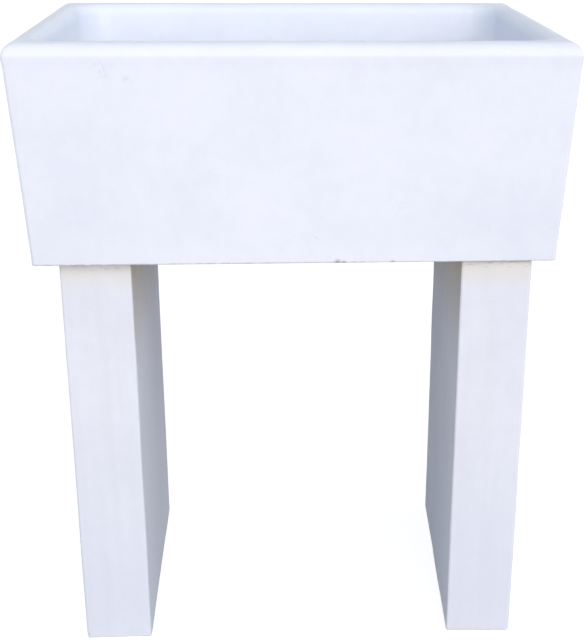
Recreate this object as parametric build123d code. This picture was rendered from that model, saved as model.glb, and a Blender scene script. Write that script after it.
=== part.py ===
from build123d import *
import math
import os

# Utility laundry sink: a deep cast basin that stands on two cast slab legs, with its waste
# fitting, the tail that a drain pipe pushes on to, and a rubber plug with a pull ring.
# Sizes are in millimetres. +Z is up and the front of the sink faces -Y.
# The origin is on the floor, under the middle of the basin.

# ---- tub, outside
tub_width = 700.0             # across the rim, left to right
tub_depth = 500.0             # across the rim, front to back
tub_height = 278.0            # from the underside to the top of the rim
tub_lean = 14.5               # how far each wall comes in from the rim to the underside
rim_round = 18.0              # radius of the rim's outer rounding
rim_flat = 2.0                # flat strip along the top of the rim
rim_inner_round = 16.0        # radius where the rim turns down into the basin
rim_cove_height = 11.0        # strip under the rim where the wall swells out to meet it
rim_cove_depth = 1.2          # how far the rim stands out past the wall below it
corner_round = 5.0            # rounding of the four upright outer corners

# ---- tub, inside
basin_lean = 12.0             # how far each inner wall comes in from the rim to the floor
basin_corner = 34.0           # plan radius of the inner corners, at the floor
basin_foot_round = 26.0       # radius where the inner walls meet the floor
floor_thickness = 38.0        # at the foot of the walls
floor_fall = 6.0              # how much lower the floor lies at the drain
fall_margin = 34.0            # level strip between the walls and the falls
fall_foot_margin = 0.5        # level strip between the falls and the dish's rebate

# ---- slab legs and the mortar on them
leg_thickness = 93.0          # left to right
leg_depth = 390.0             # front to back
leg_height = 563.0
leg_round = 4.0               # rounding of a leg's upright edges
leg_foot_round = 3.0          # rounding of a leg's bottom edges
left_leg_recess = 20.0        # from the tub's front lower edge back to the left leg's front
right_leg_recess = 12.0       # the same on the right, at the middle of that leg
left_leg_inset = 30.0         # from the tub's side lower edge in to the left leg
right_leg_inset = 20.0        # the same on the right, at the middle of that leg
right_leg_turn = -2.5         # degrees: the right leg stands a little out of square
bed_thickness = 4.0           # mortar between a leg and the tub
bed_inset = 2.0               # how far the mortar stays back from the leg's edges

# ---- steel inside the castings
rim_bar_diameter = 6.0
rim_bar_drop = 22.0           # from the top of the rim down to the bar's centre
wire_diameter = 4.0
hoop_cover = 9.0              # from a wall's outer face to a hoop's centre
wire_cover = 14.0             # from a wall's outer face to an upright wire's centre
floor_wire_cover = 10.0       # from the underside to a cross wire's centre
wire_spacing_up = 4.5         # from the cross wires up to the long wires, centre to centre
wire_top_drop = 36.0          # from the top of the rim down to the wires' ends
wire_bend = 22.0              # bend radius at the foot of the walls
hoop_count = 2
cross_wire_rows = 2           # rows of cross wires on each side of the drain
cross_wire_pitch = 72.0
long_wire_rows = 3            # rows of long wires on each side of the drain
long_wire_pitch = 82.0
leg_bar_diameter = 8.0
leg_bar_cover = 22.0          # from a leg's face to a bar's centre
leg_bar_end_cover = 20.0      # from the top and bottom of a leg to the bars' ends
leg_bar_rows = 3
link_diameter = 5.0
link_gap = 0.3                # between a link and the bars that it goes round
link_count = 4

# ---- waste fitting
drain_x = 0.0
drain_y = 0.0
drain_hole_radius = 31.0      # hole through the tub's floor
rebate_clearance = 1.5        # round the dish's rim, in its rebate
dish_sink = 0.5               # how far the dish's rim lies below the floor
dish_seal_thickness = 2.0
dish_rim_radius = 44.0
dish_gauge = 1.5              # sheet thickness of the dish
throat_top_radius = 27.5
throat_bottom_radius = 22.0
throat_height = 18.0
basket_height = 11.0          # from the throat down to the grid
grid_hole_radius = 4.0
grid_hole_circle = 13.5
grid_hole_count = 6
body_seal_thickness = 4.0
body_flange_radius = 43.0
body_flange_thickness = 4.0
cup_radius = 32.0             # outside of the outlet body's cup
cup_wall = 4.0
cup_height = 6.0              # straight part of the cup below its flange
cup_cone_height = 7.0
thread_radius = 23.9          # outside of the outlet thread
outlet_bore_radius = 19.5
thread_length = 14.0
boss_radius = 7.5
rib_thickness = 3.0
rib_height = 10.0
rib_drop = 1.0                # from the flange's face down to the ribs
rib_count = 3
boss_floor = 3.0              # left solid at the foot of the boss, below the screw's bore
insert_radius = 4.5
insert_length = 12.0
screw_radius = 3.0
screw_engagement = 11.0       # how far the screw reaches into the insert
screw_head_radius = 5.5
screw_head_height = 3.2
screw_head_round = 1.0
screw_slot_width = 1.2
screw_slot_depth = 1.2
tail_radius = 20.0            # outside of the tail, where the drain pipe pushes on
tail_wall = 2.0
tail_root_radius = 21.4       # the tail swells to this under its collar
tail_root_height = 3.0
tail_collar_radius = 23.2
tail_collar_thickness = 2.5
tail_washer_thickness = 2.5
tail_length = 24.0            # from the collar's underside to the end
nut_wall = 4.6
nut_shoulder = 3.0
nut_clearance = 0.4           # between the nut's shoulder and the tail's root
nut_grip = 11.0               # how much of the thread the nut covers
lug_count = 8
lug_width = 5.0
lug_height = 2.6

# ---- plug and pull ring
plug_clearance = 0.3          # between the plug's cone and the throat
plug_lift = 2.0               # from the throat's foot up to the plug's underside
plug_stand = 2.0              # how far the plug's top stands above the dish
plug_edge_round = 1.0
stud_radius = 2.5
stud_collar_radius = 8.0
stud_collar_thickness = 1.5
eye_radius = 5.0
eye_thickness = 4.0
eye_hole_radius = 2.0
eye_neck = 6.0                # width of the eye's neck
plug_washer_radius = 9.0
plug_washer_thickness = 1.2
plug_nut_flats = 8.0
plug_nut_height = 4.0
stud_end = 1.2                # thread left below the nut
ring_radius = 11.0            # of the ring's centre line
ring_wire_radius = 1.25
ring_rest_gap = 0.3           # between the lying ring and the plug

# ---- drawing
cut_margin = 2.0              # how far a cutting shape runs past what it cuts
same_height = 0.01            # edges this close to a level lie on it

# ---- levels and spans that follow from the sizes above
underside = leg_height + bed_thickness
rim_z = underside + tub_height
shoulder_z = rim_z - rim_round
cove_z = shoulder_z - rim_cove_height
wall_thickness = rim_round + rim_flat + rim_inner_round
floor_z = underside + floor_thickness
drain_z = floor_z - floor_fall
dish_top = drain_z - dish_sink
dish_seal_top = dish_top - dish_gauge
rebate_z = dish_seal_top - dish_seal_thickness
rebate_radius = dish_rim_radius + rebate_clearance
throat_foot = dish_top - throat_height
grid_top = throat_foot - basket_height
grid_bottom = grid_top - dish_gauge
body_top = underside - body_seal_thickness
cup_foot = body_top - body_flange_thickness - cup_height
cone_foot = cup_foot - cup_cone_height
thread_end = cone_foot - thread_length
tail_top = thread_end - tail_washer_thickness
collar_foot = tail_top - tail_collar_thickness
tail_end = collar_foot - tail_length
plug_bottom = throat_foot + plug_lift
plug_top = dish_top + plug_stand
eye_z = plug_top + stud_collar_thickness + eye_radius


def outer_half(span, z):
    """Half the tub's width or depth over its outer faces, at height z below the rim."""
    foot = span / 2 - tub_lean
    rise = (z - underside) / (cove_z - underside)
    return foot + rise * (tub_lean - rim_cove_depth)


def tub_section(span):
    """The tub's outline across one direction: leaning walls, a small swell and a round rim."""
    half = span / 2
    arc_start = half - rim_round
    right = [
        Line((half - tub_lean, underside), (half - rim_cove_depth, cove_z)),
        Line((half - rim_cove_depth, cove_z), (half, shoulder_z)),
        CenterArc((arc_start, shoulder_z), rim_round, 0, 90),
    ]
    left = [mirror(edge, about=Plane.YZ) for edge in right]
    top = Line((-arc_start, rim_z), (arc_start, rim_z))
    bottom = Line((tub_lean - half, underside), (half - tub_lean, underside))
    return make_face([*right, *left, top, bottom])


def rounded_corner_block():
    """A block just outside the leaning walls, with its upright corners rounded."""
    lean_angle = math.degrees(math.atan(tub_lean / (shoulder_z - underside)))
    foot = Rectangle(tub_width - 2 * tub_lean, tub_depth - 2 * tub_lean)
    block = Pos(0, 0, underside) * extrude(foot, tub_height + cut_margin, taper=-lean_angle)
    uprights = block.edges().filter_by(lambda edge: abs(edge.tangent_at(0.5).Z) > 0.5)
    return fillet(uprights, corner_round)


def tub_outside():
    """Two sections pushed through each other give mitred rim corners."""
    along_y = extrude(Plane.XZ * tub_section(tub_width), tub_depth, both=True)
    along_x = extrude(Plane.YZ * tub_section(tub_depth), tub_width, both=True)
    return along_y & along_x & rounded_corner_block()


def basin_space():
    """The hollow of the basin: leaning walls, a rounded foot and four falls to the drain."""
    width = tub_width - 2 * (wall_thickness + basin_lean)
    depth = tub_depth - 2 * (wall_thickness + basin_lean)
    height = rim_z - floor_z
    lean_angle = math.degrees(math.atan(basin_lean / height))
    outline = RectangleRounded(width, depth, basin_corner)
    space = Pos(0, 0, floor_z) * extrude(outline, height, taper=-lean_angle)
    space = fillet(space.edges().group_by(Axis.Z)[0], basin_foot_round)
    fall_edge = Pos(0, 0, floor_z) * Rectangle(width - 2 * fall_margin, depth - 2 * fall_margin)
    drain_side = 2 * (rebate_radius + fall_foot_margin)
    fall_foot = Pos(drain_x, drain_y, drain_z) * Rectangle(drain_side, drain_side)
    return space + loft([fall_foot, fall_edge], ruled=True)


def rod(radius, bottom, top):
    """An upright cylinder between two heights."""
    return Pos(0, 0, (bottom + top) / 2) * Cylinder(radius, top - bottom)


def bore(radius, bottom, top):
    """A cutting cylinder that runs a little past both heights."""
    return rod(radius, bottom - cut_margin, top + cut_margin)


def at_drain(shape):
    """Put a shape that is drawn round the Z axis at the drain."""
    return Pos(drain_x, drain_y, 0) * shape


def tub_casting():
    """The tub before the steel is taken out of it."""
    casting = tub_outside() - basin_space()
    inner_x = tub_width / 2 - rim_round - rim_flat / 2
    inner_y = tub_depth / 2 - rim_round - rim_flat / 2
    mouth = casting.edges().filter_by(lambda edge: abs(edge.center().Z - rim_z) < same_height)
    mouth = mouth.filter_by(lambda edge: abs(edge.center().X) < inner_x)
    mouth = mouth.filter_by(lambda edge: abs(edge.center().Y) < inner_y)
    casting = fillet(mouth, rim_inner_round)
    casting -= at_drain(rod(rebate_radius, rebate_z, drain_z + cut_margin))
    return casting - at_drain(bore(drain_hole_radius, underside, rebate_z))


def place_left(shape):
    """Put a shape that is drawn round a leg's own middle under the tub's left end."""
    x = tub_lean + left_leg_inset + leg_thickness / 2 - tub_width / 2
    y = tub_lean + left_leg_recess + leg_depth / 2 - tub_depth / 2
    return Pos(x, y, 0) * shape


def place_right(shape):
    """The same at the right end, where the leg stands a little out of square."""
    x = tub_width / 2 - tub_lean - right_leg_inset - leg_thickness / 2
    y = tub_lean + right_leg_recess + leg_depth / 2 - tub_depth / 2
    return Pos(x, y, 0) * Rot(0, 0, right_leg_turn) * shape


def leg_casting():
    """A slab leg with softened upright and bottom edges."""
    slab = extrude(Rectangle(leg_thickness, leg_depth), leg_height)
    slab = fillet(slab.edges().filter_by(Axis.Z), leg_round)
    return fillet(slab.edges().group_by(Axis.Z)[0], leg_foot_round)


def leg_bed():
    """The mortar joint on top of a leg."""
    outline = RectangleRounded(leg_thickness - 2 * bed_inset, leg_depth - 2 * bed_inset, leg_round)
    return Pos(0, 0, leg_height) * extrude(outline, bed_thickness)


def closed_hoop(width, depth, corner, z, diameter):
    """A round bar bent into a closed hoop with rounded corners, lying level at height z."""
    path = Pos(0, 0, z) * RectangleRounded(width, depth, corner).wire()
    start = Plane(origin=path @ 0, z_dir=path % 0)
    return sweep(start * Circle(diameter / 2), path=path)


def rim_hoop():
    """The bar in the middle of the rim."""
    inner_corner = basin_corner + basin_lean
    middle = wall_thickness / 2
    return closed_hoop(
        tub_width - wall_thickness,
        tub_depth - wall_thickness,
        inner_corner + middle,
        rim_z - rim_bar_drop,
        rim_bar_diameter,
    )


def wall_hoops():
    """Hoops lower in the walls, evenly spaced between the floor and the rim bar."""
    step = (rim_z - rim_bar_drop - floor_z) / (hoop_count + 1)
    hoops = []
    for number in range(hoop_count):
        z = floor_z + step * (number + 1)
        width = 2 * (outer_half(tub_width, z) - hoop_cover)
        depth = 2 * (outer_half(tub_depth, z) - hoop_cover)
        hoops.append(closed_hoop(width, depth, basin_corner, z, wire_diameter))
    return Compound(hoops)


def bent_wire(span, floor_height):
    """A wire in the XZ plane: down inside one wall, under the floor and up the other wall."""
    top_z = rim_z - wire_top_drop
    top = outer_half(span, top_z) - wire_cover
    foot = outer_half(span, floor_height) - wire_cover
    corners = [(-top, 0, top_z), (-foot, 0, floor_height), (foot, 0, floor_height), (top, 0, top_z)]
    path = FilletPolyline(*corners, radius=wire_bend)
    start = Plane(origin=path @ 0, z_dir=path % 0)
    return sweep(start * Circle(wire_diameter / 2), path=path)


def both_ways(rows, pitch):
    """Places on each side of the middle, one pitch apart."""
    return [side * pitch * (row + 1) for side in (-1, 1) for row in range(rows)]


def cross_wires():
    """Wires that run from the left wall to the right wall."""
    wire = bent_wire(tub_width, underside + floor_wire_cover)
    return Compound([Pos(0, y, 0) * wire for y in both_ways(cross_wire_rows, cross_wire_pitch)])


def long_wires():
    """Wires that run from the front wall to the back wall, above the cross wires."""
    wire = Rot(0, 0, 90) * bent_wire(tub_depth, underside + floor_wire_cover + wire_spacing_up)
    return Compound([Pos(x, 0, 0) * wire for x in both_ways(long_wire_rows, long_wire_pitch)])


def leg_bars():
    """Upright bars in two lines near the leg's faces."""
    x = leg_thickness / 2 - leg_bar_cover
    end_y = leg_depth / 2 - leg_bar_cover
    bar = rod(leg_bar_diameter / 2, leg_bar_end_cover, leg_height - leg_bar_end_cover)
    step = 2 * end_y / (leg_bar_rows - 1)
    places = [(side * x, row * step - end_y) for side in (-1, 1) for row in range(leg_bar_rows)]
    return Compound([Pos(*place, 0) * bar for place in places])


def leg_links():
    """Closed links round the bars, evenly spaced up the leg."""
    reach = (leg_bar_diameter + link_diameter) / 2 + link_gap
    width = leg_thickness - 2 * leg_bar_cover + 2 * reach
    depth = leg_depth - 2 * leg_bar_cover + 2 * reach
    step = (leg_height - 2 * leg_bar_end_cover) / link_count
    heights = [leg_bar_end_cover + step * (number + 0.5) for number in range(link_count)]
    return Compound([closed_hoop(width, depth, reach, z, link_diameter) for z in heights])


def turned(points):
    """A round piece from its half outline, given as (radius, height) points."""
    outline = Polyline(*[(radius, 0, z) for radius, z in points], close=True)
    return revolve(make_face(outline), Axis.Z)


def ring_plate(outer, inner, bottom, top):
    """A flat ring between two heights."""
    return turned([(inner, bottom), (outer, bottom), (outer, top), (inner, top)])


def waste_dish():
    """Rim, tapered throat, straight basket and a grid with a hole for the screw."""
    outside = [
        (throat_top_radius + dish_gauge, dish_seal_top),
        (throat_bottom_radius + dish_gauge, throat_foot - dish_gauge),
        (throat_bottom_radius + dish_gauge, grid_bottom),
        (0, grid_bottom),
    ]
    inside = [
        (0, grid_top),
        (throat_bottom_radius, grid_top),
        (throat_bottom_radius, throat_foot),
        (throat_top_radius, dish_top),
    ]
    rim = [(dish_rim_radius, dish_top), (dish_rim_radius, dish_seal_top)]
    dish = turned(outside + inside + rim)
    grid_hole = bore(grid_hole_radius, grid_bottom, grid_top)
    dish -= PolarLocations(grid_hole_circle, grid_hole_count) * grid_hole
    return dish - bore(screw_radius, grid_bottom, grid_top)


def waste_body():
    """Flange, cup, cone and outlet thread, with a ribbed boss for the screw."""
    outside = [
        (body_flange_radius, body_top),
        (body_flange_radius, body_top - body_flange_thickness),
        (cup_radius, body_top - body_flange_thickness),
        (cup_radius, cup_foot),
        (thread_radius, cone_foot),
        (thread_radius, thread_end),
    ]
    inside = [
        (outlet_bore_radius, thread_end),
        (outlet_bore_radius, cone_foot),
        (cup_radius - cup_wall, cup_foot),
        (cup_radius - cup_wall, body_top),
    ]
    body = turned(outside + inside)
    rib_bottom = body_top - rib_drop - rib_height
    reach = cup_radius - cup_wall / 2
    rib = Pos(reach / 2, 0, rib_bottom + rib_height / 2) * Box(reach, rib_thickness, rib_height)
    body += rod(boss_radius, rib_bottom, grid_bottom)
    body += PolarLocations(0, rib_count) * rib
    body -= rod(insert_radius, grid_bottom - insert_length, grid_bottom + cut_margin)
    return body - rod(screw_radius, rib_bottom + boss_floor, grid_bottom + cut_margin)


def screw_insert():
    """The threaded brass insert in the boss."""
    return ring_plate(insert_radius, screw_radius, grid_bottom - insert_length, grid_bottom)


def waste_screw():
    """Slotted screw that pulls the dish and the outlet body together."""
    head_top = grid_top + screw_head_height
    shank = rod(screw_radius, grid_bottom - screw_engagement, grid_top)
    head = rod(screw_head_radius, grid_top, head_top)
    head = fillet(head.edges().group_by(Axis.Z)[-1], screw_head_round)
    slot_length = 2 * (screw_head_radius + cut_margin)
    slot = Pos(0, 0, head_top) * Box(slot_length, screw_slot_width, 2 * screw_slot_depth)
    return shank + head - slot


def tail_nut():
    """Coupling nut with grip lugs; its shoulder carries the tail's collar."""
    top = thread_end + nut_grip
    outer = thread_radius + nut_wall
    foot = collar_foot - nut_shoulder
    shoulder_bore = tail_root_radius + nut_clearance
    nut = turned([
        (shoulder_bore, foot),
        (outer, foot),
        (outer, top),
        (thread_radius, top),
        (thread_radius, collar_foot),
        (shoulder_bore, collar_foot),
    ])
    height = top - foot
    root = outer - nut_wall / 2
    reach = outer + lug_height - root
    lug = Pos(root + reach / 2, 0, foot + height / 2) * Box(reach, lug_width, height)
    return nut + PolarLocations(0, lug_count) * lug


def tail_pipe():
    """Straight tail with the collar that the nut pulls up against the washer."""
    bore = tail_radius - tail_wall
    return turned([
        (bore, tail_end),
        (tail_radius, tail_end),
        (tail_radius, collar_foot - tail_root_height),
        (tail_root_radius, collar_foot),
        (tail_collar_radius, collar_foot),
        (tail_collar_radius, tail_top),
        (bore, tail_top),
    ])


def plug():
    """Tapered rubber plug, a running fit in the dish's throat."""
    slope = (throat_top_radius - throat_bottom_radius) / throat_height
    side_gap = plug_clearance * math.hypot(1, slope)
    bottom_radius = throat_bottom_radius + slope * plug_lift - side_gap
    top_radius = throat_top_radius - side_gap
    body = turned([
        (stud_radius, plug_bottom),
        (bottom_radius, plug_bottom),
        (top_radius, dish_top),
        (top_radius, plug_top),
        (stud_radius, plug_top),
    ])
    top_rims = body.edges().filter_by(GeomType.CIRCLE).group_by(Axis.Z)[-1]
    return fillet(top_rims.sort_by(SortBy.RADIUS)[-1], plug_edge_round)


def plug_stud():
    """Stud with a collar on the plug and an eye for the ring."""
    foot = plug_bottom - plug_washer_thickness - plug_nut_height - stud_end
    shank = rod(stud_radius, foot, plug_top)
    collar = rod(stud_collar_radius, plug_top, plug_top + stud_collar_thickness)
    neck_foot = plug_top + stud_collar_thickness / 2
    neck_height = eye_z - neck_foot
    neck = Pos(0, 0, neck_foot + neck_height / 2) * Box(eye_thickness, eye_neck, neck_height)
    across = Pos(0, 0, eye_z) * Rot(0, 90, 0)
    eye = across * Cylinder(eye_radius, eye_thickness)
    hole = across * Cylinder(eye_hole_radius, eye_thickness + 2 * cut_margin)
    return shank + collar + neck + eye - hole


def plug_nut():
    """Hexagon nut under the plug."""
    across_corners = plug_nut_flats / math.cos(math.radians(30))
    blank = RegularPolygon(across_corners / 2, 6) - Circle(stud_radius)
    bottom = plug_bottom - plug_washer_thickness - plug_nut_height
    return Pos(0, 0, bottom) * extrude(blank, plug_nut_height)


def plug_ring():
    """The ring hangs in the eye and lies down towards the front, on the plug."""
    drop = eye_z - plug_top - ring_wire_radius - ring_rest_gap
    tilt = math.degrees(math.asin(drop / (2 * ring_radius)))
    ring = Pos(0, -ring_radius, 0) * Torus(ring_radius, ring_wire_radius)
    return Pos(0, 0, eye_z) * Rot(tilt, 0, 0) * ring


os.makedirs("parts", exist_ok=True)

steel_in_tub = {
    "rim_hoop": rim_hoop(),
    "wall_hoops": wall_hoops(),
    "cross_wires": cross_wires(),
    "long_wires": long_wires(),
}
tub = tub_casting()
for steel in steel_in_tub.values():
    tub -= steel

bars = leg_bars()
links = leg_links()
leg = leg_casting() - bars - links
bed = leg_bed()
legs = {}
for side, place in (("left", place_left), ("right", place_right)):
    legs[side + "_leg"] = place(leg)
    legs[side + "_leg_bed"] = place(bed)
    legs[side + "_leg_bars"] = place(bars)
    legs[side + "_leg_links"] = place(links)

dish_seal = ring_plate(dish_rim_radius, drain_hole_radius, rebate_z, dish_seal_top)
body_seal = ring_plate(body_flange_radius, drain_hole_radius, body_top, underside)
tail_washer = ring_plate(tail_collar_radius, tail_radius - tail_wall, tail_top, thread_end)
plug_washer_foot = plug_bottom - plug_washer_thickness
plug_washer = ring_plate(plug_washer_radius, stud_radius, plug_washer_foot, plug_bottom)
round_pieces = {
    "waste_dish": waste_dish(),
    "dish_seal": dish_seal,
    "waste_body": waste_body(),
    "body_seal": body_seal,
    "waste_screw": waste_screw(),
    "screw_insert": screw_insert(),
    "tail_nut": tail_nut(),
    "tail_washer": tail_washer,
    "tail_pipe": tail_pipe(),
    "plug": plug(),
    "plug_stud": plug_stud(),
    "plug_washer": plug_washer,
    "plug_nut": plug_nut(),
    "plug_ring": plug_ring(),
}

pieces = {"tub": tub, **legs, **steel_in_tub}
for name, shape in round_pieces.items():
    pieces[name] = at_drain(shape)

for name, shape in pieces.items():
    export_step(shape, "parts/" + name + ".step")

print("levels:", "underside", underside, "rim", rim_z, "floor", floor_z, "drain", drain_z)
print("waste:", "dish top", dish_top, "grid top", grid_top, "tail end", tail_end)
print("plug:", "bottom", plug_bottom, "top", plug_top, "eye", eye_z)
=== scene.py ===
# %% [markdown]
# # A cast laundry sink on two slab legs
#
# The real sink is one thick casting of white cement and fine stone. Its walls lean inwards
# towards the foot, and its rim is round. It stands on two cast slabs. A pressed steel dish
# and a rubber plug close its drain. The construction comes in as a fixed frame with real
# sizes, and this script gives every surface its finish. The castings and their mortar are
# modelled again here, with the soft edges, small chips and faint waves that a mould leaves.

import math

import bmesh
import bpy
from mathutils import Matrix, Vector


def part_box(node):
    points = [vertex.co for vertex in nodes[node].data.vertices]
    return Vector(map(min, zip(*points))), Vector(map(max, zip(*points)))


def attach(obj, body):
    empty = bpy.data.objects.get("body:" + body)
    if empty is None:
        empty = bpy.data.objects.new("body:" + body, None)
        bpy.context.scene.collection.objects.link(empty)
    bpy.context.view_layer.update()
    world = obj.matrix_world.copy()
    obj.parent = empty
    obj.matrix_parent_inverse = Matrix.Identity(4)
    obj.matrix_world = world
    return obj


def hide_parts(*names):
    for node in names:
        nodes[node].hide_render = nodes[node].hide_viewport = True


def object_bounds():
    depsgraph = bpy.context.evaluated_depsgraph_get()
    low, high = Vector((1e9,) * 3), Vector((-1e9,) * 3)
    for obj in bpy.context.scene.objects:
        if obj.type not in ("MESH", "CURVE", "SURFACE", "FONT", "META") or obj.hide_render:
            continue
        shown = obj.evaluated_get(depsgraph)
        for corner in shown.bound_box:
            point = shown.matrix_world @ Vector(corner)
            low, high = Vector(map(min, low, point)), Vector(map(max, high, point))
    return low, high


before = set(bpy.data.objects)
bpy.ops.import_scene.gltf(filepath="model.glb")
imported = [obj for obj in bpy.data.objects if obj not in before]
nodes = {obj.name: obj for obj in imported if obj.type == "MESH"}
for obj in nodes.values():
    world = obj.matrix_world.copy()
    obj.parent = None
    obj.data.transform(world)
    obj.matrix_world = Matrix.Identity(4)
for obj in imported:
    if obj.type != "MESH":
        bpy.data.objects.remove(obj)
cad_low, cad_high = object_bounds()
print("the frame measures", [round(v, 3) for v in cad_high - cad_low], "metres")

# %% [markdown]
# ## The camera
#
# A photograph's viewpoint can be worked out from straight edges whose real sizes are known.
# The sink's front, rim and legs gave this place, these turns and this focal length in
# pixels. The photograph was cropped, so the middle of its lens isn't the middle of the
# picture, and the camera's shift makes up for that.

# %% Camera
photo_width = 588
photo_height = 640
focal_pixels = 1257.97
lens_middle_column = 340.26   # in the photograph's pixels
lens_middle_row = 357.31
camera_place = Vector((-0.03841, -1.77947, 1.03799))
camera_yaw = -0.06124         # the three turns are in radians
camera_pitch = -0.37031
camera_roll = -0.00705
sensor_width = 36.0           # millimetres

camera_data = bpy.data.cameras.new("camera")
camera_data.sensor_width = sensor_width
camera_data.lens = focal_pixels * sensor_width / photo_height
camera_data.shift_x = (photo_width / 2 - lens_middle_column) / photo_height
camera_data.shift_y = (lens_middle_row - photo_height / 2) / photo_height
camera = bpy.data.objects.new("camera", camera_data)
bpy.context.scene.collection.objects.link(camera)
turn = Matrix.Rotation(camera_yaw, 4, "Z")
turn = turn @ Matrix.Rotation(camera_pitch, 4, "X") @ Matrix.Rotation(camera_roll, 4, "Y")
level = Matrix.Rotation(math.pi / 2, 4, "X")
camera.matrix_world = Matrix.Translation(camera_place) @ turn @ level
bpy.context.scene.camera = camera
shift = [round(camera_data.shift_x, 3), round(camera_data.shift_y, 3)]
print("lens", round(camera_data.lens, 2), "mm, shift", shift)

# %% [markdown]
# ## Working by hand in edit mode
#
# An operator works on all that is selected, so every step first selects nothing and then
# picks its faces or edges by where they are. These few helpers do that. A piece's points
# hold its true place, so the object itself stays at the origin.

# %% Helpers for starting pieces
def only(piece):
    """Select this piece alone and make it the active one."""
    if bpy.context.mode != "OBJECT":
        bpy.ops.object.mode_set(mode="OBJECT")
    bpy.ops.object.select_all(action="DESELECT")
    piece.select_set(True)
    bpy.context.view_layer.objects.active = piece


def named(name):
    """Give the new piece its name and put its place into its points."""
    piece = bpy.context.active_object
    piece.name = name
    piece.data.name = name
    only(piece)
    bpy.ops.object.transform_apply(location=True, rotation=True, scale=True)
    return piece


def nothing_selected():
    """Leave edit mode and deselect all pieces."""
    if bpy.context.mode != "OBJECT":
        bpy.ops.object.mode_set(mode="OBJECT")
    bpy.ops.object.select_all(action="DESELECT")


def block(name, low, high):
    """A box between two corners."""
    nothing_selected()
    bpy.ops.mesh.primitive_cube_add(size=1, location=(Vector(low) + Vector(high)) / 2)
    bpy.context.active_object.scale = Vector(high) - Vector(low)
    return named(name)


def drum(name, radius, bottom, top, sides=64):
    """An upright cylinder round the drain's axis."""
    nothing_selected()
    bpy.ops.mesh.primitive_cylinder_add(
        vertices=sides, radius=radius, depth=top - bottom, location=(0, 0, (bottom + top) / 2),
    )
    return named(name)


print("blocks and drums can be made")

# %% Helpers for edit mode
hair = 0.00005                # two places closer than this are the same
mostly = 0.7                  # of a direction's length, where it runs mostly along an axis


def edit(piece):
    """Open a piece in edit mode."""
    only(piece)
    bpy.ops.object.mode_set(mode="EDIT")


def pick(kind, where, way=None):
    """Select the faces or edges whose points all lie where asked, and that run the way asked."""
    bpy.ops.mesh.select_mode(type=kind)
    bpy.ops.mesh.select_all(action="DESELECT")
    mesh = bmesh.from_edit_mesh(bpy.context.edit_object.data)
    for part in mesh.faces if kind == "FACE" else mesh.edges:
        points = [point.co for point in part.verts]
        direction = part.normal if kind == "FACE" else (points[-1] - points[0]).normalized()
        if all(where(point) for point in points) and (way is None or way(direction)):
            part.select_set(True)
    bmesh.update_edit_mesh(bpy.context.edit_object.data)


def near(a, b):
    """True where two numbers are the same but for rounding."""
    return abs(a - b) < hair


def upright(direction):
    """True for an edge that runs up or down."""
    return abs(direction.z) > mostly


def downwards(direction):
    """True for a face that looks down."""
    return direction.z < -mostly


def extrude(z):
    """Pull the selected faces up, or down where z is negative."""
    bpy.ops.mesh.extrude_region_move(TRANSFORM_OT_translate={"value": (0, 0, z)})


def resize_to(reach, other):
    """Scale what is selected about the upright axis, from one reach along X and Y to another."""
    scale = (other[0] / reach[0], other[1] / reach[1], 1)
    bpy.ops.transform.resize(value=scale, center_override=(0, 0, 0))


def bevel(width, segments):
    """Round what is selected."""
    bpy.ops.mesh.bevel(offset=width, segments=segments, clamp_overlap=False, loop_slide=False)


def merge_close():
    """Merge points that fall on each other, and drop the faces without area between them."""
    bpy.ops.mesh.select_all(action="SELECT")
    bpy.ops.mesh.remove_doubles(threshold=hair)
    bpy.ops.mesh.dissolve_degenerate(threshold=hair)


print("edit mode helpers ready, places are the same within", hair, "metres")


# %% Helpers for whole pieces
def apply_modifier(piece, kind, **settings):
    """Add a modifier, set it up and apply it."""
    only(piece)
    modifier = piece.modifiers.new(kind.lower(), kind)
    for key, value in settings.items():
        setattr(modifier, key, value)
    bpy.ops.object.modifier_apply(modifier=modifier.name)


def cut_away(piece, cutter):
    """Take the cutter's space out of a piece, then throw the cutter away."""
    apply_modifier(piece, "BOOLEAN", operation="DIFFERENCE", solver="EXACT", object=cutter)
    bpy.data.objects.remove(cutter)


def slice_up(piece, low, high, pitch):
    """Cut a piece's faces into even strips along each axis, so that its skin can bend."""
    edit(piece)
    for axis in range(3):
        count = math.ceil((high[axis] - low[axis]) / pitch)
        for number in range(1, count):
            place = Vector((0, 0, 0))
            place[axis] = low[axis] + (high[axis] - low[axis]) * number / count
            normal = Vector((0, 0, 0))
            normal[axis] = 1
            bpy.ops.mesh.select_all(action="SELECT")
            bpy.ops.mesh.bisect(plane_co=place, plane_no=normal)
    bpy.ops.object.mode_set(mode="OBJECT")


def smooth(piece, degrees=35):
    """Shade a piece smooth except across sharp edges."""
    only(piece)
    bpy.ops.object.shade_smooth_by_angle(angle=math.radians(degrees))


print("pieces can be cut, sliced and smoothed")

# %% [markdown]
# ## The tub
#
# A tub like this is cast upside down, in a leaning box mould that stands round a leaning
# core. The mesh is made the same way: an outer block, and a core that is taken out of it.
# Rounding the edges of a finished tub would be another way, but where wide and narrow
# roundings meet, the faces fold over each other. A block and a core each have only a few
# edges, and every rounding works.

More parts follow.
